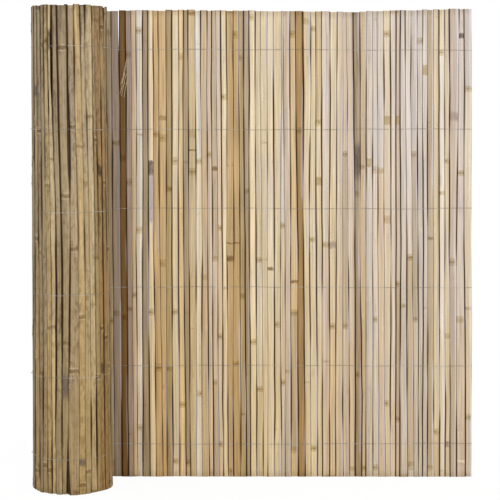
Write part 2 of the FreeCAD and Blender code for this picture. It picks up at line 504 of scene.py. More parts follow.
# Single marks: distance from the free edge, middle height, half height, softness of the ends
# and tone
FACE_MARKS = [
    (0.687, 0.665, 0.015, 0.002, "smudge"), (0.303, 0.500, 0.003, 0.008, "mauve"),
    (0.687, 0.600, 0.045, 0.012, "ash"), (0.658, 0.772, 0.004, 0.002, "tawny"),
    (0.596, 0.737, 0.006, 0.004, "block"), (0.596, 0.703, 0.001, 0.001, "umber"),
    (0.549, 0.664, 0.002, 0.005, "umber"), (0.711, 0.737, 0.001, 0.002, "taupe"),
    (0.513, 0.504, 0.001, 0.001, "umber"), (0.500, 0.505, 0.001, 0.001, "umber"),
    (0.513, 0.472, 0.003, 0.006, "umber"), (0.434, 0.450, 0.002, 0.003, "umber"),
    (0.387, 0.422, 0.001, 0.004, "umber"), (0.571, 0.431, 0.004, 0.004, "block"),
    (0.028, 0.947, 0.003, 0.005, "mould"), (0.101, 0.874, 0.009, 0.004, "block"),
    (0.052, 0.071, 0.006, 0.001, "drab"), (0.024, 0.034, 0.002, 0.001, "cream"),
    (0.250, 0.680, 0.020, 0.030, "smudge"), (0.040, 0.776, 0.004, 0.010, "mauve"),
    (0.179, 0.767, 0.009, 0.002, "block"), (0.162, 0.767, 0.009, 0.002, "block"),
    (0.321, 0.637, 0.008, 0.002, "block"), (0.222, 0.677, 0.008, 0.002, "block"),
]

# The same at the roll's front, by the distance to the roll's axis towards +X
SKIN_MARKS = [
    (0.060, 0.664, 0.006, 0.010, "mould"), (0.062, 0.256, 0.006, 0.010, "mould"),
    (0.022, 0.066, 0.002, 0.009, "smudge"), (-0.022, 0.930, 0.012, 0.014, "smudge"),
    (-0.060, 0.828, 0.006, 0.010, "smudge"), (0.004, 0.225, 0.004, 0.040, "smudge"),
]

MARKS_PER_SLAT = 2
NO_MARK = (9.0, 0.001, 0.001, "smudge")

# Shift of the line between two slats and how far its head and foot lean, by its distance
# from the free edge
LINE_SHIFTS = {
    0.771: (-0.0030, 0.0, 0.0), 0.758: (-0.0070, 0.0, 0.0), 0.746: (-0.0085, 0.0, 0.0),
    0.733: (-0.0055, 0.0, 0.0), 0.703: (0.0010, -0.0030, 0.0035),
}

# How near a line has to lie to take its shift
LINE_TOLERANCE = 0.005

# Gaps between slats: distance from the free edge, width, and then the middle of the gap and
# how far it reaches from there, as shares of the height
OPEN_GAPS = [(0.758, 0.0024, 1.0, 0.12), (0.345, 0.0010, 1.0, 0.2), (0.150, 0.0010, 1.0, 0.12)]

# The same at the roll's front, by the distance to the roll's axis towards +X
ROLL_GAPS = [
    (0.006, 0.0055, 0.0, 0.16), (-0.002, 0.0036, 0.72, 0.15), (-0.050, 0.0030, 0.93, 0.12),
    (-0.022, 0.0026, 0.90, 0.12), (-0.031, 0.0024, 0.80, 0.06), (-0.008, 0.0020, 0.30, 0.12),
]
GAPS_PER_LINE = 2
NO_GAP = (0.0, 0.0, 1.0)

# How far the roll's whole front leans towards -X above its middle
ROLL_LEAN = 0.0055

# How far each line leans at its ends by chance, and how far from the ends, as a share of the
# height, any lean begins
STRAY_LEAN = 0.0030
LEAN_SPREAD = 0.6
LEAN_REACH = 0.62

# Half of the widest gap that chance opens between two slats of the roll
ROLL_HALF_GAP = 0.0012

# How far the roll's foot leans beside the first of its gaps, and how far along that fades
FOOT_LEAN = -0.0065
FOOT_LEAN_REACH = 0.03

# Rows of wire that stand off the roll's far left, and how far
LOOSE_ROWS = {"binding_wire_1": 0.0022, "binding_wire_2": 0.0030, "binding_wire_5": 0.0034}
LOOSE_FACING = -0.985

# What is drawn for each slat: distance between knuckles, light and weather of a plain slat
KNUCKLE_STEPS = (0.23, 0.42)
BRIGHTNESS = (0.95, 1.04)
PLAIN_WEATHER = (0.3, 0.8)

# How much darker the slats get towards the free edge, and the painted shade inside the roll
EDGE_DIMMING = 0.05
INNER_SHADE = 0.4

# Noise level from which a side shows painted skylight near the roll, and how much less at the free
# edge
SKYLIGHT_LEVEL = 0.58
SKYLIGHT_DRIFT = 0.14

# How unevenly the heads are cut, as multiples of the ragged ends
RAGGED_HEADS = {"open": 1.5, "roll": 2.2}

# A stretch between two knuckles has its slat's second tone above these chances, softened by
# this share of the first
TONE_CHANGE = (0.66, 0.68)
SECOND_TONE_SOFTNESS = 0.35

MIXING_SEED = 41
SEED_SPREAD = 90.0


def wave_height(wave, distance):
    """Height of a wave of points at a distance."""
    for (start, low), (end, high) in zip(wave, wave[1:]):
        if start <= distance <= end:
            return low + (high - low) * (distance - start) / (end - start)
    return wave[-1][1]


def run_tones(slats, start, runs):
    """Tone of every slat in the runs, which begin at the slat nearest to their distance."""
    tones = {}
    for place, names in runs.items():
        first = min(slats, key=lambda slat: abs(start - slat.place.x - place))
        tones.update(zip(slats[slats.index(first):], names))
    return tones


def filled(entries, count, blank):
    """A slat's gaps or marks, made up to the count that every slat carries."""
    if len(entries) > count:
        raise ValueError(f"{len(entries)} gaps or marks where a slat carries {count}")
    return entries + [blank] * (count - len(entries))


class Line:
    """The line between two slats, which both of them follow."""

    def __init__(self, draw, in_roll):
        self.seed = draw.uniform(0, SEED_SPREAD)
        self.shift = 0.0
        self.half_gap = draw.random() ** 3 * ROLL_HALF_GAP if in_roll else 0.0
        self.head = draw.gauss(0, LEAN_SPREAD) * STRAY_LEAN
        self.foot = draw.gauss(0, LEAN_SPREAD) * STRAY_LEAN

    def aside(self, share):
        """How far the line lies from its plan at a share of the height."""
        upper = max(0.0, 1 - (1 - share) / LEAN_REACH)
        lower = max(0.0, 1 - share / LEAN_REACH)
        leaning = self.head * upper ** 2 * (3 - 2 * upper)
        leaning += self.foot * lower ** 2 * (3 - 2 * lower)
        return self.shift + leaning


class Mat:
    """Every slat of the mat, in order from the free edge to the middle of the roll."""

    def __init__(self):
        low, high = frame["record"]["physics"]["openings"][0]["box_m"]
        self.axis = Vector(((low[0] + high[0]) / 2, (low[1] + high[1]) / 2, 0))
        slats = []
        for node in [OPEN_NODE] + TURN_NODES:
            for corners in loose_solids(node):
                facing = OUT_OF_SCREEN
                if node != OPEN_NODE:
                    middle = sum(corners, Vector()) / len(corners) - self.axis
                    facing = Vector((middle.x, middle.y, 0)).normalized()
                slats.append(Slat(node, corners, facing))
        self.slats = sorted(slats, key=Slat.order)
        self.free_edge = self.slats[0].place.x + self.slats[0].width / 2
        self.opened = [slat for slat in self.slats if not slat.turn]
        self.front = [slat for slat in self.slats if slat.turn == 1 and slat.facing.y < 0]
        self.sides = ((self.opened, self.free_edge, -1), (self.front, self.axis.x, 1))

    def openness(self, slat):
        """Place of a slat from 0 at the roll's axis to 1 at the free edge."""
        return (slat.place.x - self.axis.x) / (self.free_edge - self.axis.x)

    def settling(self, slat, end):
        """How far a slat's end really stands from its plan."""
        girth = ROLL_GIRTH[end]
        shift = ROLL_SHIFT[end]
        if slat.turn:
            return slat.facing * girth + EAST * shift
        share = self.openness(slat)
        aside = shift + (EDGE_SHIFT[end] - shift) * share
        return EAST * aside + OUT_OF_SCREEN * girth * (1 - share)

    def choose_tones(self, draw):
        """Choose the tones of each slat's split face and of its skin."""
        faces = run_tones(self.opened[::-1], self.free_edge, FACE_RUNS)
        skins = run_tones(self.front, self.axis.x, SKIN_RUNS)
        names = list(FACE_SHARES)
        for slat in self.slats:
            slat.share = min(1.0, max(0.0, self.openness(slat)))
            drift = slat.share ** SHARE_POWER
            weights = [max(0.0, a + (b - a) * drift) for a, b in FACE_SHARES.values()]
            face = draw.choices(names, weights)[0]
            skin = draw.choices(list(SKIN_SHARES), list(SKIN_SHARES.values()))[0]
            slat.face_tone = faces.get(slat, face)
            slat.second_tone = draw.choices(names, weights)[0]
            if draw.random() < WEATHERED_STRETCHES:
                slat.second_tone = draw.choice(STRETCH_TONES)
            if slat in faces:
                slat.second_tone = slat.face_tone
            slat.skin_tone = skins.get(slat, skin)
            slat.weather = 1.0 if slat.face_tone in WEATHERED else draw.uniform(*PLAIN_WEATHER)

    def draw_lines(self, draw):
        """The lines before, between and after the slats."""
        lines = []
        for slat in self.slats[:1] + self.slats:
            line = Line(draw, slat.turn)
            if slat.turn:
                line.head -= ROLL_LEAN * math.sin(slat.wound() / 2) ** 2
                from_gap = slat.place.x - self.axis.x + slat.width / 2 - ROLL_GAPS[0][0]
                if slat.facing.y < 0:
                    line.foot += FOOT_LEAN * math.exp(-(from_gap / FOOT_LEAN_REACH) ** 2)
            else:
                edge = self.free_edge - slat.place.x + slat.width / 2
                shifts = [shift for place, shift in LINE_SHIFTS.items()
                          if abs(edge - place) < LINE_TOLERANCE]
                if shifts:
                    line.shift, line.head, line.foot = shifts[0]
            lines.append(line)
        lines[0].shift = lines[0].head = lines[0].foot = 0.0
        return lines

    def stand_slats(self, draw):
        """Stand each slat between its two lines, with its own ends, light and knuckles."""
        settings = bpy.context.scene.bamboo_slats
        first, second = self.slats[:2]
        plan_gap = first.place.x - second.place.x - (first.width + second.width) / 2
        lines = self.draw_lines(draw)
        for slat, before, after in zip(self.slats, lines, lines[1:]):
            slat.lines = (before, after)
            distance = self.free_edge - slat.place.x
            head_rise = wave_height(HEAD_WAVE, distance) if not slat.turn else 0.0
            foot_rise = ROLL_FOOT_RISE * draw.random() if slat.turn else 0.0
            foot = self.settling(slat, "foot") + UP * foot_rise
            head = self.settling(slat, "head") + UP * (slat.height + head_rise)
            ragged = RAGGED_HEADS["roll" if slat.turn else "open"]
            head += UP * draw.uniform(-1, 1) * settings.ragged * ragged
            slat.foot = slat.place + foot + UP * draw.random() * settings.ragged
            slat.head = slat.place + head
            half = (slat.width + plan_gap - settings.clearance) / 2
            radius = max((slat.place - self.axis).dot(slat.facing), half)
            slat.halves = [half * (1 + ROLL_GIRTH[end] / radius) if slat.turn else half
                           for end in ("foot", "head")]
            slat.seed = draw.uniform(0, SEED_SPREAD)
            slat.knuckle_step = draw.uniform(*KNUCKLE_STEPS)
            slat.knuckle_first = draw.random()
            brightness = draw.uniform(*BRIGHTNESS) * (1.0 - EDGE_DIMMING * slat.share ** 3)
            if slat.turn > 1:
                # Painted shade of the slats inside the roll
                brightness *= INNER_SHADE
            slat.tint = Vector((1, 1, 1)).lerp(EDGE_TINT, slat.share ** 4) * brightness

    def open_gaps(self):
        """Spread the slats on each side of the gaps."""
        for (group, start, way), gaps in zip(self.sides, (OPEN_GAPS, ROLL_GAPS)):
            for place, width, middle, reach in gaps:
                spot = start + way * place
                before = min(group, key=lambda s: abs(s.place.x + way * s.width / 2 - spot))
                after = self.slats[self.slats.index(before) + 1]
                before.gaps["after"].append((-width / 2, middle, reach))
                after.gaps["before"].append((width / 2, middle, reach))
                if middle == 0.0:
                    after.foot.z = 0.0

    def put_marks(self):
        """Give the slats that carry single marks their heights and tones."""
        for (group, start, way), marks in zip(self.sides, (FACE_MARKS, SKIN_MARKS)):
            for place, *mark in marks:
                spot = start + way * place
                min(group, key=lambda s: abs(s.place.x - spot)).marks.append(mark)


def prepared_mat():
    """The mat with all that makes its slats differ, which is the same each time."""
    draw = random.Random(MIXING_SEED)
    mat = Mat()
    mat.choose_tones(draw)
    mat.stand_slats(draw)
    mat.open_gaps()
    mat.put_marks()
    return mat


# The slat that all slats are grown from

UNIT_ATTRIBUTES = ("across", "depth", "height")


def unit_slat(name, rings):
    """Tube of rings that carries where each point is across, through and along a slat."""
    bevel = 0.12
    side = 0.24
    section = [
        (-1 + bevel, 0.0), (-0.4, 0.0), (0.4, 0.0), (1 - bevel, 0.0),
        (1.0, side), (1.0, 1 - side / 2), (1 - bevel / 2, 1.0), (0.35, 1.0),
        (-0.35, 1.0), (-1 + bevel / 2, 1.0), (-1.0, 1 - side / 2), (-1.0, side),
    ]
    sides = len(section)
    points = []
    for ring in range(rings):
        height = ring / (rings - 1)
        points += [(across, depth, height) for across, depth in section]
    faces = []
    for ring in range(rings - 1):
        for corner in range(sides):
            following = (corner + 1) % sides
            low = ring * sides
            high = low + sides
            faces.append((low + corner, high + corner, high + following, low + following))
    faces.append(list(range(sides)))
    faces.append([(rings - 1) * sides + corner for corner in range(sides)][::-1])
    mesh = bpy.data.meshes.new(name)
    mesh.from_pydata(points, [], faces)
    mesh.polygons.foreach_set("use_smooth", [True] * len(mesh.polygons))
    ends = {0.0, 1.0}
    for edge in mesh.edges:
        heights = {points[corner][2] for corner in edge.vertices}
        edge.use_edge_sharp = len(heights) == 1 and heights <= ends
    for label, values in zip(UNIT_ATTRIBUTES, zip(*points)):
        write_attribute(mesh, label, "FLOAT", values)
    return new_object(name, mesh)


# Sizes that a slat's tree takes from the settings of the same names
SHAPE_INPUTS = ["Cane radius", "Slant", "Wander", "Bow", "Twist", "Ridge", "Swelling", "Crowding"]
ROW_INPUTS = ["First row", "Row spacing"]

# How often a slat's shape changes over its height
PACES = {"line": 3.0, "fine line": 9.0, "bend": 4.0, "twist": 5.0, "dirt": 4.0, "haze": 3.5}

# A knuckle's relief above its middle: places and widths
RIDGE_WIDTH = 0.0016
UPPER_RIDGE = (0.0115, 0.0024)
SWELLING = (0.004, 0.016)
FACE_BULGE = (0.003, 0.005)

# How much a knuckle shows where the slat changes its tone
CHANGE_POWER = 0.88

# What the bamboo's material reads from the slats
SLAT_ATTRIBUTES = ("depth", "across", "knuckle_reach", "knuckle_side", "knuckle_power",
                   "internode", "rim", "line_depth", "haze", "fibre", "face_tint", "second_tint",
                   "skin_tint", "side_tint", "weather", "mark_0", "mark_tint_0", "mark_1",
                   "mark_tint_1", "own_seed", "from_end")


def slat_tree():
    """Geometry tree that grows a slat on every point."""
    graph = new_geometry_tree("slats_on_stations", SHAPE_INPUTS + ROW_INPUTS,
                              {"Slat": "NodeSocketObject", "Material": "NodeSocketMaterial"})
    unit = graph.add("GeometryNodeObjectInfo", {}, {"Object": graph.given("Slat")}, "Geometry")
    grown = graph.add("GeometryNodeInstanceOnPoints", {},
                      {"Points": graph.given("Geometry"), "Instance": unit})
    grown = graph.add("GeometryNodeRealizeInstances", {}, {"Geometry": grown})

    across, depth, height = (graph.carried(name, "FLOAT") for name in UNIT_ATTRIBUTES)
    facing = graph.carried("facing")
    along = graph.vector("CROSS_PRODUCT", (0, 0, 1), facing)
    foot_half, head_half, thickness = graph.parts(graph.carried("size"))
    before_seed, after_seed, own_seed = graph.parts(graph.carried("seeds"))
    first, count, step = graph.parts(graph.carried("growth"))

    # Rings crowd at the knuckles, which lie where the raw height is a whole number
    crowd = graph.given("Crowding") / math.tau
    raw_foot = crowd * graph.maths("SINE", first * math.tau) - first
    last = count - first
    raw_head = last - crowd * graph.maths("SINE", last * math.tau)
    plain = height * count - first
    raw = plain - crowd * graph.maths("SINE", plain * math.tau)
    share = (raw - raw_foot) / (raw_head - raw_foot)
    knuckle = graph.maths("ROUND", raw)
    distance = (raw - knuckle) * step

    # Between two rows of wire a slat is free to bow and turn
    head = graph.carried("head")
    spine = graph.between(graph.carried("foot"), head, share, "Vector")
    level = graph.part(spine, "Z")
    held = graph.maths("SINE", (level - graph.given("First row")) * math.pi
                       / graph.given("Row spacing"))
    freedom = held * held
    looseness = 0.3 + freedom * 0.7
    bend = graph.wander(own_seed, share * PACES["bend"]) - 0.5
    turning = graph.wander(own_seed, share * PACES["twist"] + 20.0) - 0.5

    # The line between two neighbours strays, and both follow it. What is added to a seed only
    # keeps one draw apart from the others
    strays = []
    depths = []
    for seed in (before_seed, after_seed):
        stray = graph.wander(seed, share * PACES["line"]) - 0.5
        fine = graph.wander(seed + 11.0, share * PACES["fine line"]) - 0.5
        strays.append(stray * 2.0 + fine * 0.5)
        # Darkness of the line between two slats: dirt and painted shade
        dirt = graph.wander(seed + 31.0, share * PACES["dirt"], 1.0)
        depths.append(dirt + graph.chance(seed, 3.0) * 0.24 - 0.12)
    side = across * 0.5 + 0.5
    half = graph.between(foot_half, head_half, share)

    def of_lines(name):
        """Value of the lines before and after a slat, mixed by the place across it."""
        vector = graph.carried(name)
        return graph.between(graph.part(vector, "X"), graph.part(vector, "Y"), side)

    def gap_shift(name):
        """Shift of one of the slat's edges beside a gap."""
        shift, middle, reach = graph.parts(graph.carried(name))
        return shift * graph.ease(graph.maths("ABSOLUTE", share - middle), reach, 0.0)

    wander = graph.given("Wander") * (0.5 + freedom * 0.5)
    sideways = across * half + graph.between(*strays, side) * wander + of_lines("edges")
    sideways = sideways + of_lines("head_lean") * graph.ease(1.0 - share, LEAN_REACH, 0.0)
    sideways = sideways + of_lines("foot_lean") * graph.ease(share, LEAN_REACH, 0.0)
    for number_of_gap in range(GAPS_PER_LINE):
        sideways = sideways + graph.between(gap_shift(f"gap_before_{number_of_gap}"),
                                            gap_shift(f"gap_after_{number_of_gap}"), side)

    # Skin and split face, with the knuckles' ridges
    ridge = graph.given("Ridge")
    from_middle = across * half
    crown = thickness - from_middle * from_middle / (graph.given("Cane radius") * 2.0)
    ridge_place, ridge_width = UPPER_RIDGE
    ridges = graph.bell(distance, RIDGE_WIDTH)
    ridges = ridges + graph.bell(distance - ridge_place, ridge_width) * 0.7
    swelling = graph.bell(distance - SWELLING[0], SWELLING[1]) * graph.given("Swelling")
    bulge = graph.bell(distance - FACE_BULGE[0], FACE_BULGE[1]) * ridge * 0.6
    outward = depth * (crown + (ridges * ridge + swelling)) - (1.0 - depth) * bulge
    outward = outward + bend * freedom * graph.given("Bow")
    outward = outward + from_middle * turning * looseness * graph.given("Twist")
    sideways = sideways + (depth - 0.5) * graph.given("Slant")
    spot = graph.vector("ADD", spine, graph.scaled(facing, outward))
    spot = graph.vector("ADD", spot, graph.scaled(along, sideways))

    # What the materials need to know of each point
    below = graph.ease(graph.chance(own_seed, knuckle - 1.0), *TONE_CHANGE)
    above = graph.ease(graph.chance(own_seed, knuckle), *TONE_CHANGE)
    change = graph.maths("ABSOLUTE", above - below) * CHANGE_POWER
    # Noise that places the painted skylight on the turned sides
    skylit = graph.wander(before_seed + 57.0, share * PACES["haze"])
    haze_level = graph.carried("haze_level", "FLOAT")
    numbers = {
        "knuckle_reach": graph.maths("ABSOLUTE", distance),
        "knuckle_side": graph.maths("SINE", raw * math.tau),
        "knuckle_power": graph.maths("MAXIMUM", graph.chance(own_seed + 7.0, knuckle), change),
        "internode": graph.chance(own_seed, graph.maths("FLOOR", raw)),
        "from_end": graph.maths("MINIMUM", share, 1.0 - share) * graph.part(head, "Z"),
        "rim": (1.0 - graph.maths("ABSOLUTE", across)) * half,
        "line_depth": graph.between(*depths, side),
        "haze": graph.ease(skylit, haze_level, haze_level + 0.1) * graph.ease(side, 0.5, 0.0),
    }
    for name, value in numbers.items():
        grown = graph.store(grown, name, value)
    fibre = graph.join(from_middle + own_seed, outward, level)
    grown = graph.store(grown, "fibre", fibre, "FLOAT_VECTOR")
    grown = graph.add("GeometryNodeSetPosition", {}, {"Geometry": grown, "Position": spot})
    graph.finish(grown)
    return graph


def slat_vectors(slat):
    """Vectors that a slat's shape and colours need, by name."""
    tones = bpy.context.scene.bamboo_tones
    before, after = slat.lines
    face = slat.lit(slat.face_tone)
    vectors = {
        "facing": slat.facing,
        "foot": slat.foot,
        "head": slat.head,
        "size": (*slat.halves, slat.thickness),
        "seeds": (before.seed, after.seed, slat.seed),
        "growth": (slat.knuckle_first, slat.height / slat.knuckle_step, slat.knuckle_step),
        "edges": (before.shift + before.half_gap, after.shift - after.half_gap, 0.0),
        "head_lean": (before.head, after.head, 0.0),
        "foot_lean": (before.foot, after.foot, 0.0),
        # Colour of the painted skylight, from the roll to the free edge
        "side_tint": Vector(tones.haze).lerp(Vector(tones.sheen), slat.share),
        "face_tint": face,
        "second_tint": slat.lit(slat.second_tone).lerp(face, SECOND_TONE_SOFTNESS),
        "skin_tint": slat.lit(slat.skin_tone),
    }
    for place, gaps in slat.gaps.items():
        for count, gap in enumerate(filled(gaps, GAPS_PER_LINE, NO_GAP)):
            vectors[f"gap_{place}_{count}"] = gap
    for count, (*heights, name) in enumerate(filled(slat.marks, MARKS_PER_SLAT, NO_MARK)):
        vectors[f"mark_{count}"] = heights
        vectors[f"mark_tint_{count}"] = getattr(tones, name)
    return vectors


def stations_mesh(name, slats):
    """One vertex for each slat, which carries everything that its shape needs."""
    mesh = bpy.data.meshes.new(name)
    mesh.from_pydata([slat.foot for slat in slats], [], [])
    vectors = [slat_vectors(slat) for slat in slats]
    for label in vectors[0]:
        write_attribute(mesh, label, "FLOAT_VECTOR", [own[label] for own in vectors])
    levels = [SKYLIGHT_LEVEL - SKYLIGHT_DRIFT * slat.share for slat in slats]
    write_attribute(mesh, "haze_level", "FLOAT", levels)
    write_attribute(mesh, "weather", "FLOAT", [slat.weather for slat in slats])
    write_attribute(mesh, "own_seed", "FLOAT", [slat.seed for slat in slats])
    return mesh


def build_slats(name, slats, rings, material, nodes):
    """Grow a group of slats as one piece and put it in place of its CAD nodes."""
    settings = bpy.context.scene.bamboo_slats
    rows = wire_rows()
    unit = unit_slat(f"{name}_unit", rings)
    values = {label: getattr(settings, label.lower().replace(" ", "_")) for label in SHAPE_INPUTS}
    values.update(zip(ROW_INPUTS, (rows[0], rows[1] - rows[0])))
    values.update({"Slat": unit, "Material": material})
    piece = grow(name, stations_mesh(f"{name}_stations", slats), slat_tree(), values,
                 SLAT_ATTRIBUTES)
    unit_mesh = unit.data
    bpy.data.objects.remove(unit)
    bpy.data.meshes.remove(unit_mesh)
    put_in_part(piece, BAMBOO_SLOT, *nodes)


# Materials

# Streaks and specks along the fibres: how many to the metre across and along the cane, and
# how finely they are broken up
GRAINS = {
    "fine": (1500, 16, 3.0), "streaks": (800, 7, 1.0), "bands": (420, 5, 1.0),
    "warmth": (240, 3, 1.0), "patches": (130, 24, 3.0), "specks": (700, 260, 2.0),
    "blotches": (170, 60, 4.0), "wear": (40, 7, 1.0), "drift": (30, 4, 1.0),
}

# What each stain, and the painted shade beside the grooves, leaves of the cane's colour
STAINS_AND_SHADE = {
    "foot": (0.96, 0.92, 0.80), "skin foot": (0.95, 0.93, 0.88), "cool": (0.97, 0.97, 1.06),
    "warm": (1.0, 0.92, 0.77), "grey": (0.80, 0.79, 0.82), "aged": (0.84, 0.85, 0.94),
    "blotch": (0.66, 0.58, 0.50), "lichen": (1.10, 1.10, 1.08), "dirty end": (0.76, 0.73, 0.70),
    "knuckle block": (0.80, 0.76, 0.63), "knuckle line": (0.60, 0.50, 0.40),
    "between scars": (0.56, 0.48, 0.41), "shade": (0.66, 0.56, 0.44),
}
CUT_GRAIN = (0.40, 0.27, 0.14)
VESSELS_PER_METRE = 1500.0
CANE_SHINE = 0.12
RELIEF_DEPTH = 0.0004


def new_material(name):
    """Material with an empty tree."""
    material = bpy.data.materials.new(name)
    material.use_nodes = True
    material.node_tree.nodes.clear()
    return material, Graph(material.node_tree)


def close_material(graph, shader):
    """Join a shader to the material's output."""
    graph.add("ShaderNodeOutputMaterial", {}, {"Surface": shader})


def colour(values):
    """Colour socket value from three numbers."""
    return (*values, 1.0)


class Cane:
    """The split cane's colour, built up from its plain tones to the dirt on it."""

    def __init__(self, graph):
        self.graph = graph
        fibre = graph.read("fibre", "Vector")
        self.grain = {}
        for name, (across, along, detail) in GRAINS.items():
            stretched = graph.vector("MULTIPLY", fibre, (across, across, along))
            self.grain[name] = graph.noise(stretched, 1.0, detail)
        self.level = graph.part(fibre, "Z")
        self.skin = graph.ease(graph.read("depth"), 0.3, 0.8)
        self.face = 1.0 - self.skin
        self.colour = self.plain_colour()

    def where(self, grain, none, full):
        """From 0 where a grain has one level to 1 where it has the other."""
        return self.graph.ease(self.grain[grain], none, full)

    def stray(self, grain, size):
        """Unevenness of a given size, which follows a grain."""
        return (self.grain[grain] - 0.5) * size

    def stain_and_shade(self, name, mask):
        """Let a stain or the painted shade darken or tint the colour."""
        self.colour = self.graph.blend(self.colour, colour(STAINS_AND_SHADE[name]), mask, "MULTIPLY")

    def cover(self, over, mask):
        """Lay another colour over the colour."""
        self.colour = self.graph.blend(self.colour, over, mask)

    def plain_colour(self):
        """Tones of the split face and the skin, lighter and darker along the fibres, one edge with
        a painted highlight.
        """
        graph = self.graph
        across = graph.read("across")
        internode = graph.read("internode")
        seed = graph.read("own_seed")
        base = graph.blend(graph.read("face_tint", "Vector"), graph.read("second_tint", "Vector"),
                           graph.ease(internode, *TONE_CHANGE))
        base = graph.blend(base, graph.read("skin_tint", "Vector"), self.skin)
        weather = graph.maths("MAXIMUM", graph.read("weather"), self.skin * 0.8)
        light = 0.84 + self.grain["fine"] * 0.32
        light = light * (0.90 + self.where("bands", 0.3, 0.7) * 0.16)
        light = light * (0.93 + internode * 0.12)

        # One flank of a slat often is a little darker, up to a crisp line along the fibres
        flank_place = graph.maths("SINE", seed * 7.0) * 0.6 + self.stray("bands", 0.8)
        flank = graph.ease(across - flank_place, -0.03, 0.03)
        flank_tone = graph.maths("SINE", seed * 13.0) * 0.16
        light = light * (1.0 + (flank - 0.5) * flank_tone)
        streaks = self.where("streaks", 0.40, 0.60) - 0.55
        light = light * (1.0 + streaks * (0.08 + weather * 0.20))
        # Painted highlight along one edge of a slat, stronger on the skin
        lit_edge = graph.ease(across, 0.35, 0.7) * self.where("patches", 0.4, 0.55)
        light = light * (1.0 + lit_edge * (0.05 + self.skin * 0.12))
        return graph.scaled(base, light)

    def add_stains(self):
        """The cane is browner towards the foot, and stained from stretch to stretch."""
        graph = self.graph
        skin = self.skin
        self.stain_and_shade("foot", graph.ease(self.level, 0.8, 0.05))
        self.stain_and_shade("skin foot", skin * graph.ease(self.level, 0.4, 0.0))
        self.stain_and_shade("cool", self.where("drift", 0.42, 0.3))
        self.stain_and_shade("warm", self.where("warmth", 0.46, 0.62) * 0.55)
        self.stain_and_shade("grey", self.where("patches", 0.56, 0.72) * self.where("wear", 0.45, 0.62) * 0.8)
        aged = graph.ease(self.grain["wear"] + self.stray("patches", 0.5), 0.46, 0.60)
        self.stain_and_shade("aged", aged * graph.ease(self.level, 0.3, 0.9) * skin)
        worn = 0.4 + self.where("wear", 0.4, 0.6) * 0.6
        self.stain_and_shade("blotch", self.where("blotches", 0.47, 0.62) * skin * worn * 0.8)
        lichen = self.where("blotches", 0.43, 0.33) * skin * self.where("wear", 0.42, 0.6)
        self.stain_and_shade("lichen", lichen * 0.8)
        dirty = self.where("specks", 0.58, 0.68) * self.where("wear", 0.46, 0.62)
        mould = colour(bpy.context.scene.bamboo_tones.mould)
        self.cover(mould, dirty * (0.25 + skin * 0.45))
        # Darker within about two centimetres of either end of a slat
        end_darkening = graph.ease(graph.read("from_end"), 0.018, 0.002)
        self.stain_and_shade("dirty end", end_darkening * (0.5 + self.where("patches", 0.4, 0.6) * 0.5) * 0.9)

    def add_marks(self):
        """Single marks with an uneven edge."""
        graph = self.graph
        uneven_level = self.level + self.stray("patches", 0.008) + self.stray("bands", 0.005)
        mottle = graph.ease(self.grain["blotches"] + self.grain["specks"], 0.9, 1.1)
        for count in range(MARKS_PER_SLAT):
            middle, half, softness = graph.parts(graph.read(f"mark_{count}", "Vector"))
            from_middle = graph.maths("ABSOLUTE", uneven_level - middle)
            marked = graph.ease(from_middle, half + softness, half) * (0.7 + mottle * 0.25)
            self.cover(graph.read(f"mark_tint_{count}", "Vector"), marked)

    def add_knuckles(self):
        """An olive block or a thin line on the split face; on the skin two raised scars, pale with
        a painted highlight.
        """
        graph = self.graph
        reach = graph.read("knuckle_reach")
        power = graph.read("knuckle_power")
        upper = graph.ease(graph.read("knuckle_side"), -0.02, 0.02)
        tall = 0.003 + graph.ease(power, 0.7, 1.0) * 0.005
        block = graph.ease(reach + self.stray("bands", 0.004), tall + 0.0012, tall)
        block = block * graph.ease(power, 0.76, 0.8)
        self.stain_and_shade("knuckle block", block * self.face * 0.9)
        line = graph.bell(reach - 0.001, 0.0012) * self.face * graph.ease(power, 0.4, 0.9)
        self.stain_and_shade("knuckle line", line * self.where("patches", 0.38, 0.6) * 0.9)
        uneven = reach + self.stray("patches", 0.014) + self.stray("fine", 0.004)
        between = graph.bell(uneven - 0.006, 0.0040) * upper * self.skin
        self.stain_and_shade("between scars", between * graph.ease(power, 0.1, 0.7) * 0.85)
        # Pale scars along the knuckle ridges, with a painted highlight on their tops
        scars = graph.bell(reach, 0.0011) + graph.bell(reach - UPPER_RIDGE[0], 0.0012) * upper
        scars = scars * graph.ease(power, 0.35, 1.0) * self.where("patches", 0.3, 0.6)
        self.cover(colour(bpy.context.scene.bamboo_tones.scar), scars * self.skin * 0.8)

    def add_edges(self):
        """A turned side shows a lilac strip of painted skylight; dirt and painted shade lie where
        slats meet.
        """
        graph = self.graph
        skin = self.skin
        rim = graph.read("rim")
        haze = graph.read("haze")
        # Dirt and painted shade in the line between slats, more of it higher up on the skin
        dirt = graph.read("line_depth") + skin * (self.level - 0.40) * 0.16
        dirt = graph.ease(dirt, 0.36, 0.62)
        line = 0.0006 + dirt * (0.0010 + skin * 0.0006)
        # Painted skylight: a lilac strip along the turned side of a slat
        strip = line + 0.0008 + haze * self.where("wear", 0.35, 0.6) * 0.0036
        skylit = graph.ease(rim, strip + 0.0008, strip) * haze * self.face
        self.cover(graph.read("side_tint", "Vector"), skylit * 0.8)
        # Painted shade beside the groove, then the groove's dirt with painted shade
        shade = graph.ease(rim, line * 2.4, line * 0.5)
        self.stain_and_shade("shade", shade * dirt * (0.7 - skin * 0.15))
        groove = graph.ease(rim, line, line * 0.45)
        strength = 0.74 - skin * 0.52 + dirt * (0.26 + skin * 0.42)
        self.cover(colour(bpy.context.scene.bamboo_tones.groove), groove * strength)

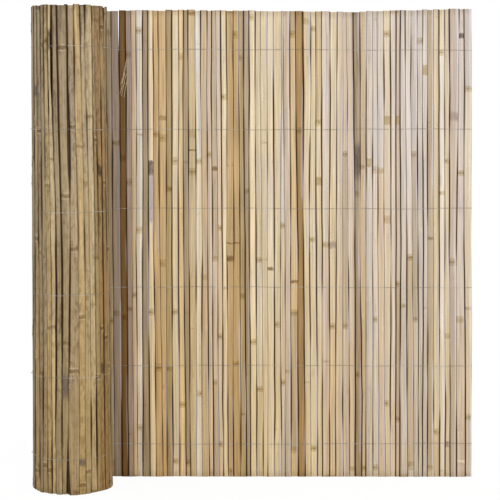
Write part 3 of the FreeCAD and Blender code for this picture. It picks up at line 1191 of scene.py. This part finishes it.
    def add_cut_ends(self):
        """The cut ends show the cane's vessels."""
        graph = self.graph
        normal = graph.add("ShaderNodeNewGeometry", {}, {}, "True Normal")
        cut = graph.ease(graph.maths("ABSOLUTE", graph.part(normal, "Z")), 0.75, 0.9)
        place = graph.add("ShaderNodeTexCoord", {}, {}, "Object")
        vessels = graph.add("ShaderNodeTexVoronoi", {},
                            {"Vector": place, "Scale": VESSELS_PER_METRE})
        dots = graph.ease(vessels, 0.2, 0.4)
        self.cover(graph.scaled(CUT_GRAIN, 0.55 + dots * 0.6), cut)


def bamboo_material():
    """Split cane: pale fibrous face, smoother skin, knuckles, dirt in the grooves, end grain."""
    material, graph = new_material("split_bamboo")
    cane = Cane(graph)
    cane.add_stains()
    cane.add_marks()
    cane.add_knuckles()
    cane.add_edges()
    cane.add_cut_ends()
    rough = graph.between(0.74, 0.5, cane.skin) + cane.stray("fine", 0.2)
    relief = cane.grain["fine"] * 0.6 + cane.grain["bands"] * 0.3 + cane.grain["patches"] * 0.3
    bump = graph.add("ShaderNodeBump", {}, {
        "Strength": 0.5, "Distance": RELIEF_DEPTH, "Height": relief}, "Normal")
    close_material(graph, graph.add("ShaderNodeBsdfPrincipled", {}, {
        "Base Color": cane.colour, "Roughness": rough, "Normal": bump,
        "Specular IOR Level": CANE_SHINE,
    }))
    return material


def wire_material():
    """Dull zinc with a faint mottle and stretches of painted highlight."""
    tones = bpy.context.scene.bamboo_tones
    material, graph = new_material("dull_zinc_wire")
    place = graph.add("ShaderNodeTexCoord", {}, {}, "Object")
    mottle = graph.noise(place, 600.0, 2.0)
    # Painted highlight on some stretches of the wire
    bright = graph.ease(graph.noise(place, 26.0, 1.0), 0.46, 0.60)
    base = graph.blend(colour(tones.zinc), colour(tones.shine), bright)
    close_material(graph, graph.add("ShaderNodeBsdfPrincipled", {}, {
        "Base Color": graph.scaled(base, 0.75 + mottle * 0.5), "Metallic": 0.1,
        "Roughness": 0.5 + mottle * 0.25, "Specular IOR Level": 0.2,
    }))
    return material


def fibre_material():
    """Pale loose fibre."""
    tones = bpy.context.scene.bamboo_tones
    material, graph = new_material("loose_fibre")
    place = graph.add("ShaderNodeTexCoord", {}, {}, "Object")
    base = graph.scaled(tuple(tones.fibre), 0.8 + graph.noise(place, 300.0) * 0.4)
    close_material(graph, graph.add("ShaderNodeBsdfPrincipled", {},
                                    {"Base Color": base, "Roughness": 0.7}))
    return material


# Binding wire

# Where a strand twists beside a slat and bends over it, as shares of the slat's width
TWIST_PLACE = -0.06
NEAR_BEND = 0.1
FAR_BEND = 0.9

# The waves of a row's wander: least and most turn from slat to slat, and share of the stray
DRIFT_WAVES = ((0.05, 0.12, 0.6), (0.3, 0.7, 0.4))
STRAND_SIDES = 6


def wire_rows():
    """Height of each row of wire, from the bottom up."""
    return [(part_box(node)[0].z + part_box(node)[1].z) / 2 for node in WIRE_NODES]


def strand_points(slats, height, behind, drift, slack):
    """Points of one strand, which crosses every other slat behind and the rest in front."""
    wire = bpy.context.scene.bamboo_wire
    cane_radius = bpy.context.scene.bamboo_slats.cane_radius
    lift = wire.diameter / 2 + wire.standoff
    points = []
    for count, slat in enumerate(slats):
        share = height / slat.height
        spine = slat.foot.lerp(slat.head, share)
        half = slat.halves[0]
        on_skin = (count % 2 == 0) == behind
        out = slat.thickness + lift if on_skin else -lift
        if on_skin and slat.turn == 1 and slat.facing.x < LOOSE_FACING:
            out += slack
        at_edge = out - half ** 2 / (2 * cane_radius) if on_skin else out
        wind = wire.winding if on_skin else -wire.winding
        low = slat.lines[0].aside(share) - half
        high = slat.lines[1].aside(share) + half
        level = height + drift(count)
        bends = [(TWIST_PLACE, slat.thickness / 2, wind), (NEAR_BEND, at_edge, 0.0),
                 (0.5, out, 0.0), (FAR_BEND, at_edge, 0.0)]
        for across, outward, rise in bends:
            aside = low + (high - low) * across
            point = spine + slat.along * aside + slat.facing * outward
            points.append(Vector((point.x, point.y, level + rise)))
    return points


def row_drift(draw):
    """Smooth wander of a row of wire, as a function of the slat's number."""
    stray = bpy.context.scene.bamboo_wire.stray
    waves = [(draw.uniform(slow, fast), draw.uniform(0, math.tau), size)
             for slow, fast, size in DRIFT_WAVES]

    def drift(count):
        return stray * sum(size * math.sin(count * pace + start) for pace, start, size in waves)
    return drift


def strand_tree():
    """Geometry tree that gives lines of points a round section."""
    graph = new_geometry_tree("round_strands", ["Radius"],
                              {"Sides": "NodeSocketInt", "Material": "NodeSocketMaterial"})
    lines = graph.add("GeometryNodeMeshToCurve", {}, {"Mesh": graph.given("Geometry")})
    ring = graph.add("GeometryNodeCurvePrimitiveCircle", {},
                     {"Resolution": graph.given("Sides"), "Radius": graph.given("Radius")})
    tube = graph.add("GeometryNodeCurveToMesh", {},
                     {"Curve": lines, "Profile Curve": ring, "Fill Caps": True})
    graph.finish(graph.add("GeometryNodeSetShadeSmooth", {}, {"Geometry": tube}))
    return graph


def build_strands(name, lines, thickness, sides, material):
    """Give lines of points a round section, as one piece."""
    points = []
    edges = []
    for line in lines:
        start = len(points)
        points += line
        edges += [(start + step, start + step + 1) for step in range(len(line) - 1)]
    mesh = bpy.data.meshes.new(f"{name}_lines")
    mesh.from_pydata(points, edges, [])
    values = {"Radius": thickness / 2, "Sides": sides, "Material": material}
    return grow(name, mesh, strand_tree(), values, ())


# Loose fibres

# Ends of the fibres: distance from the free edge and height, where they leave the slat and end
FIBRES = [
    ((0.7350, 0.902), (0.7445, 0.862)), ((0.7355, 0.893), (0.7470, 0.846)),
    ((0.7368, 0.880), (0.7492, 0.832)), ((0.7362, 0.872), (0.7478, 0.818)),
    ((0.7402, 0.868), (0.7500, 0.842)), ((0.7345, 0.860), (0.7425, 0.816)),
    ((0.7385, 0.850), (0.7512, 0.824)),
]
FIBRE_STAND_OFF = (0.003, 0.008)
FIBRE_SAG = 0.003
FIBRE_ROOT = 0.0002
FIBRE_STEPS = 8
FIBRE_SIDES = 5


def fibre_lines(mat):
    """Points of fibres that have split off a slat and stand off its face."""
    draw = random.Random(MIXING_SEED)
    face = mat.slats[0].place.y
    lines = []
    for (start, top), (end, bottom) in FIBRES:
        stand_off = draw.uniform(*FIBRE_STAND_OFF)
        points = []
        for step in range(FIBRE_STEPS + 1):
            share = step / FIBRE_STEPS
            aside = mat.free_edge - start - (end - start) * share
            bow = math.sin(share * math.pi / 2) * stand_off
            level = top + (bottom - top) * share + FIBRE_SAG * math.sin(share * math.pi)
            points.append(Vector((aside, face - bow + FIBRE_ROOT, level)))
        lines.append(points)
    return lines


# Stage

FLOOR_REACH = 30.0
FLOOR_GLOW = 1.04
FLOOR_WHITENESS = 0.9
LAMP_PLACE = Vector((0.9, -3.2, 2.0))
LAMP_TARGET = Vector((0, 0, 0.5))
LAMP_SIZE = 1.8
CAMERA_PLACE = (-0.0098, -3.130, 0.7514)
SENSOR_WIDTH = 36.0
WHITE = (1, 1, 1, 1)


def seen_directly(graph):
    """1 for the rays of the camera, of mirrors and of glass, and 0 for light."""
    camera, mirror, glass = (graph.add("ShaderNodeLightPath", output=f"Is {kind} Ray")
                             for kind in ("Camera", "Glossy", "Transmission"))
    return graph.maths("MAXIMUM", graph.maths("MAXIMUM", camera, mirror), glass)


def build_floor():
    """Pale floor that looks white and keeps the object's shadow."""
    corners = [(x * FLOOR_REACH, y * FLOOR_REACH, 0)
               for x, y in ((-1, -1), (1, -1), (1, 1), (-1, 1))]
    mesh = bpy.data.meshes.new("floor")
    mesh.from_pydata(corners, [], [(0, 1, 2, 3)])
    floor = new_object("floor", mesh)
    material, graph = new_material("pale_floor")
    tone_of_floor = colour(bpy.context.scene.bamboo_stage.floor_tone)
    lit = graph.add("ShaderNodeBsdfDiffuse", {}, {"Color": tone_of_floor})
    glow = graph.add("ShaderNodeEmission", {}, {"Color": WHITE, "Strength": FLOOR_GLOW})
    share = seen_directly(graph) * FLOOR_WHITENESS
    close_material(graph, graph.add("ShaderNodeMixShader", {}, {0: share, 1: lit, 2: glow}))
    mesh.materials.append(material)


def build_world():
    """Even light from all round, seen as plain white."""
    world = bpy.data.worlds.new("studio")
    world.use_nodes = True
    world.node_tree.nodes.clear()
    graph = Graph(world.node_tree)
    strength = graph.between(bpy.context.scene.bamboo_stage.sky, 1.0, seen_directly(graph))
    sky = graph.add("ShaderNodeBackground", {}, {"Color": WHITE, "Strength": strength})
    graph.add("ShaderNodeOutputWorld", {}, {"Surface": sky})
    bpy.context.scene.world = world


def build_lamp():
    """Large soft lamp in front of the screen."""
    lamp = bpy.data.lights.new("front_lamp", "AREA")
    lamp.size = LAMP_SIZE
    lamp.energy = bpy.context.scene.bamboo_stage.lamp
    holder = new_object("front_lamp", lamp)
    holder.location = LAMP_PLACE
    holder.rotation_euler = (LAMP_TARGET - LAMP_PLACE).to_track_quat("-Z", "Y").to_euler()


def build_camera():
    """Camera at the photograph's viewing angle."""
    stage = bpy.context.scene.bamboo_stage
    camera = bpy.data.cameras.new("camera")
    camera.lens = stage.lens
    camera.sensor_width = SENSOR_WIDTH
    camera.shift_y = stage.rise
    holder = new_object("camera", camera)
    holder.location = CAMERA_PLACE
    holder.rotation_euler = (math.pi / 2 - stage.tilt, 0, 0)
    bpy.context.scene.camera = holder


# Operators

class BAMBOO_OT_slats(bpy.types.Operator):
    """Grow the slats of the open stretch and of the roll"""
    bl_idname = "bamboo.slats"
    bl_label = "Slats"

    def execute(self, context):
        settings = context.scene.bamboo_slats
        mat = prepared_mat()
        outer = [slat for slat in mat.slats if slat.turn == 1]
        inner = [slat for slat in mat.slats if slat.turn > 1]
        shown = settings.shown_rings
        hidden = settings.hidden_rings
        material = bamboo_material()
        build_slats("open_slats", mat.opened, shown, material, [OPEN_NODE])
        build_slats("roll_outer_slats", outer, shown, material, TURN_NODES[:1])
        build_slats("roll_inner_slats", inner, hidden, material, TURN_NODES[1:])
        return {"FINISHED"}


class BAMBOO_OT_wire(bpy.types.Operator):
    """Wind the rows of binding wire round the slats"""
    bl_idname = "bamboo.wire"
    bl_label = "Binding wire"

    def execute(self, context):
        diameter = context.scene.bamboo_wire.diameter
        slats = prepared_mat().slats
        draw = random.Random(MIXING_SEED)
        material = wire_material()
        for node, height in zip(WIRE_NODES, wire_rows()):
            drift = row_drift(draw)
            slack = LOOSE_ROWS.get(node, 0.0)
            lines = [strand_points(slats, height, behind, drift, slack)
                     for behind in (True, False)]
            name = node.replace("binding_wire", "wire_row")
            piece = build_strands(name, lines, diameter, STRAND_SIDES, material)
            put_in_part(piece, WIRE_SLOT, node)
        return {"FINISHED"}


class BAMBOO_OT_fibres(bpy.types.Operator):
    """Add the fibres that have split off beside the roll"""
    bl_idname = "bamboo.fibres"
    bl_label = "Loose fibres"

    def execute(self, context):
        thickness = context.scene.bamboo_slats.fibre
        piece = build_strands("loose_fibres", fibre_lines(Mat()), thickness, FIBRE_SIDES,
                              fibre_material())
        put_in_part(piece, BAMBOO_SLOT)
        return {"FINISHED"}


class BAMBOO_OT_stage(bpy.types.Operator):
    """Set up the floor, the light and the camera"""
    bl_idname = "bamboo.stage"
    bl_label = "Stage"

    def execute(self, context):
        build_floor()
        build_world()
        build_lamp()
        build_camera()
        context.scene.view_settings.view_transform = "Standard"
        return {"FINISHED"}


class BAMBOO_PT_panel(bpy.types.Panel):
    """Sizes, colours and building steps of the screening roll"""
    bl_idname = "BAMBOO_PT_panel"
    bl_label = "Bamboo screen"
    bl_space_type = "VIEW_3D"
    bl_region_type = "UI"
    bl_category = "Bamboo screen"

    def draw(self, context):
        for group in SETTINGS:
            settings = getattr(context.scene, group)
            box = self.layout.box()
            for name in settings.__annotations__:
                box.prop(settings, name)
        for operator in OPERATORS:
            self.layout.operator(operator.bl_idname)


SETTINGS = {
    "bamboo_slats": SlatSettings,
    "bamboo_wire": WireSettings,
    "bamboo_tones": ToneSettings,
    "bamboo_stage": StageSettings,
}
OPERATORS = (BAMBOO_OT_slats, BAMBOO_OT_wire, BAMBOO_OT_fibres, BAMBOO_OT_stage)


def register():
    """Make the settings and the operators known to Blender."""
    for group, settings in SETTINGS.items():
        bpy.utils.register_class(settings)
        setattr(bpy.types.Scene, group, bpy.props.PointerProperty(type=settings))
    for operator in OPERATORS:
        bpy.utils.register_class(operator)
    bpy.utils.register_class(BAMBOO_PT_panel)


def unregister():
    """Take the settings and the operators out again."""
    bpy.utils.unregister_class(BAMBOO_PT_panel)
    for operator in reversed(OPERATORS):
        bpy.utils.unregister_class(operator)
    for group, settings in SETTINGS.items():
        delattr(bpy.types.Scene, group)
        bpy.utils.unregister_class(settings)


def main():
    """Build the piece and its stage."""
    register()
    bpy.ops.bamboo.slats()
    bpy.ops.bamboo.wire()
    bpy.ops.bamboo.fibres()
    bpy.ops.bamboo.stage()


if __name__ == "__main__":
    main()
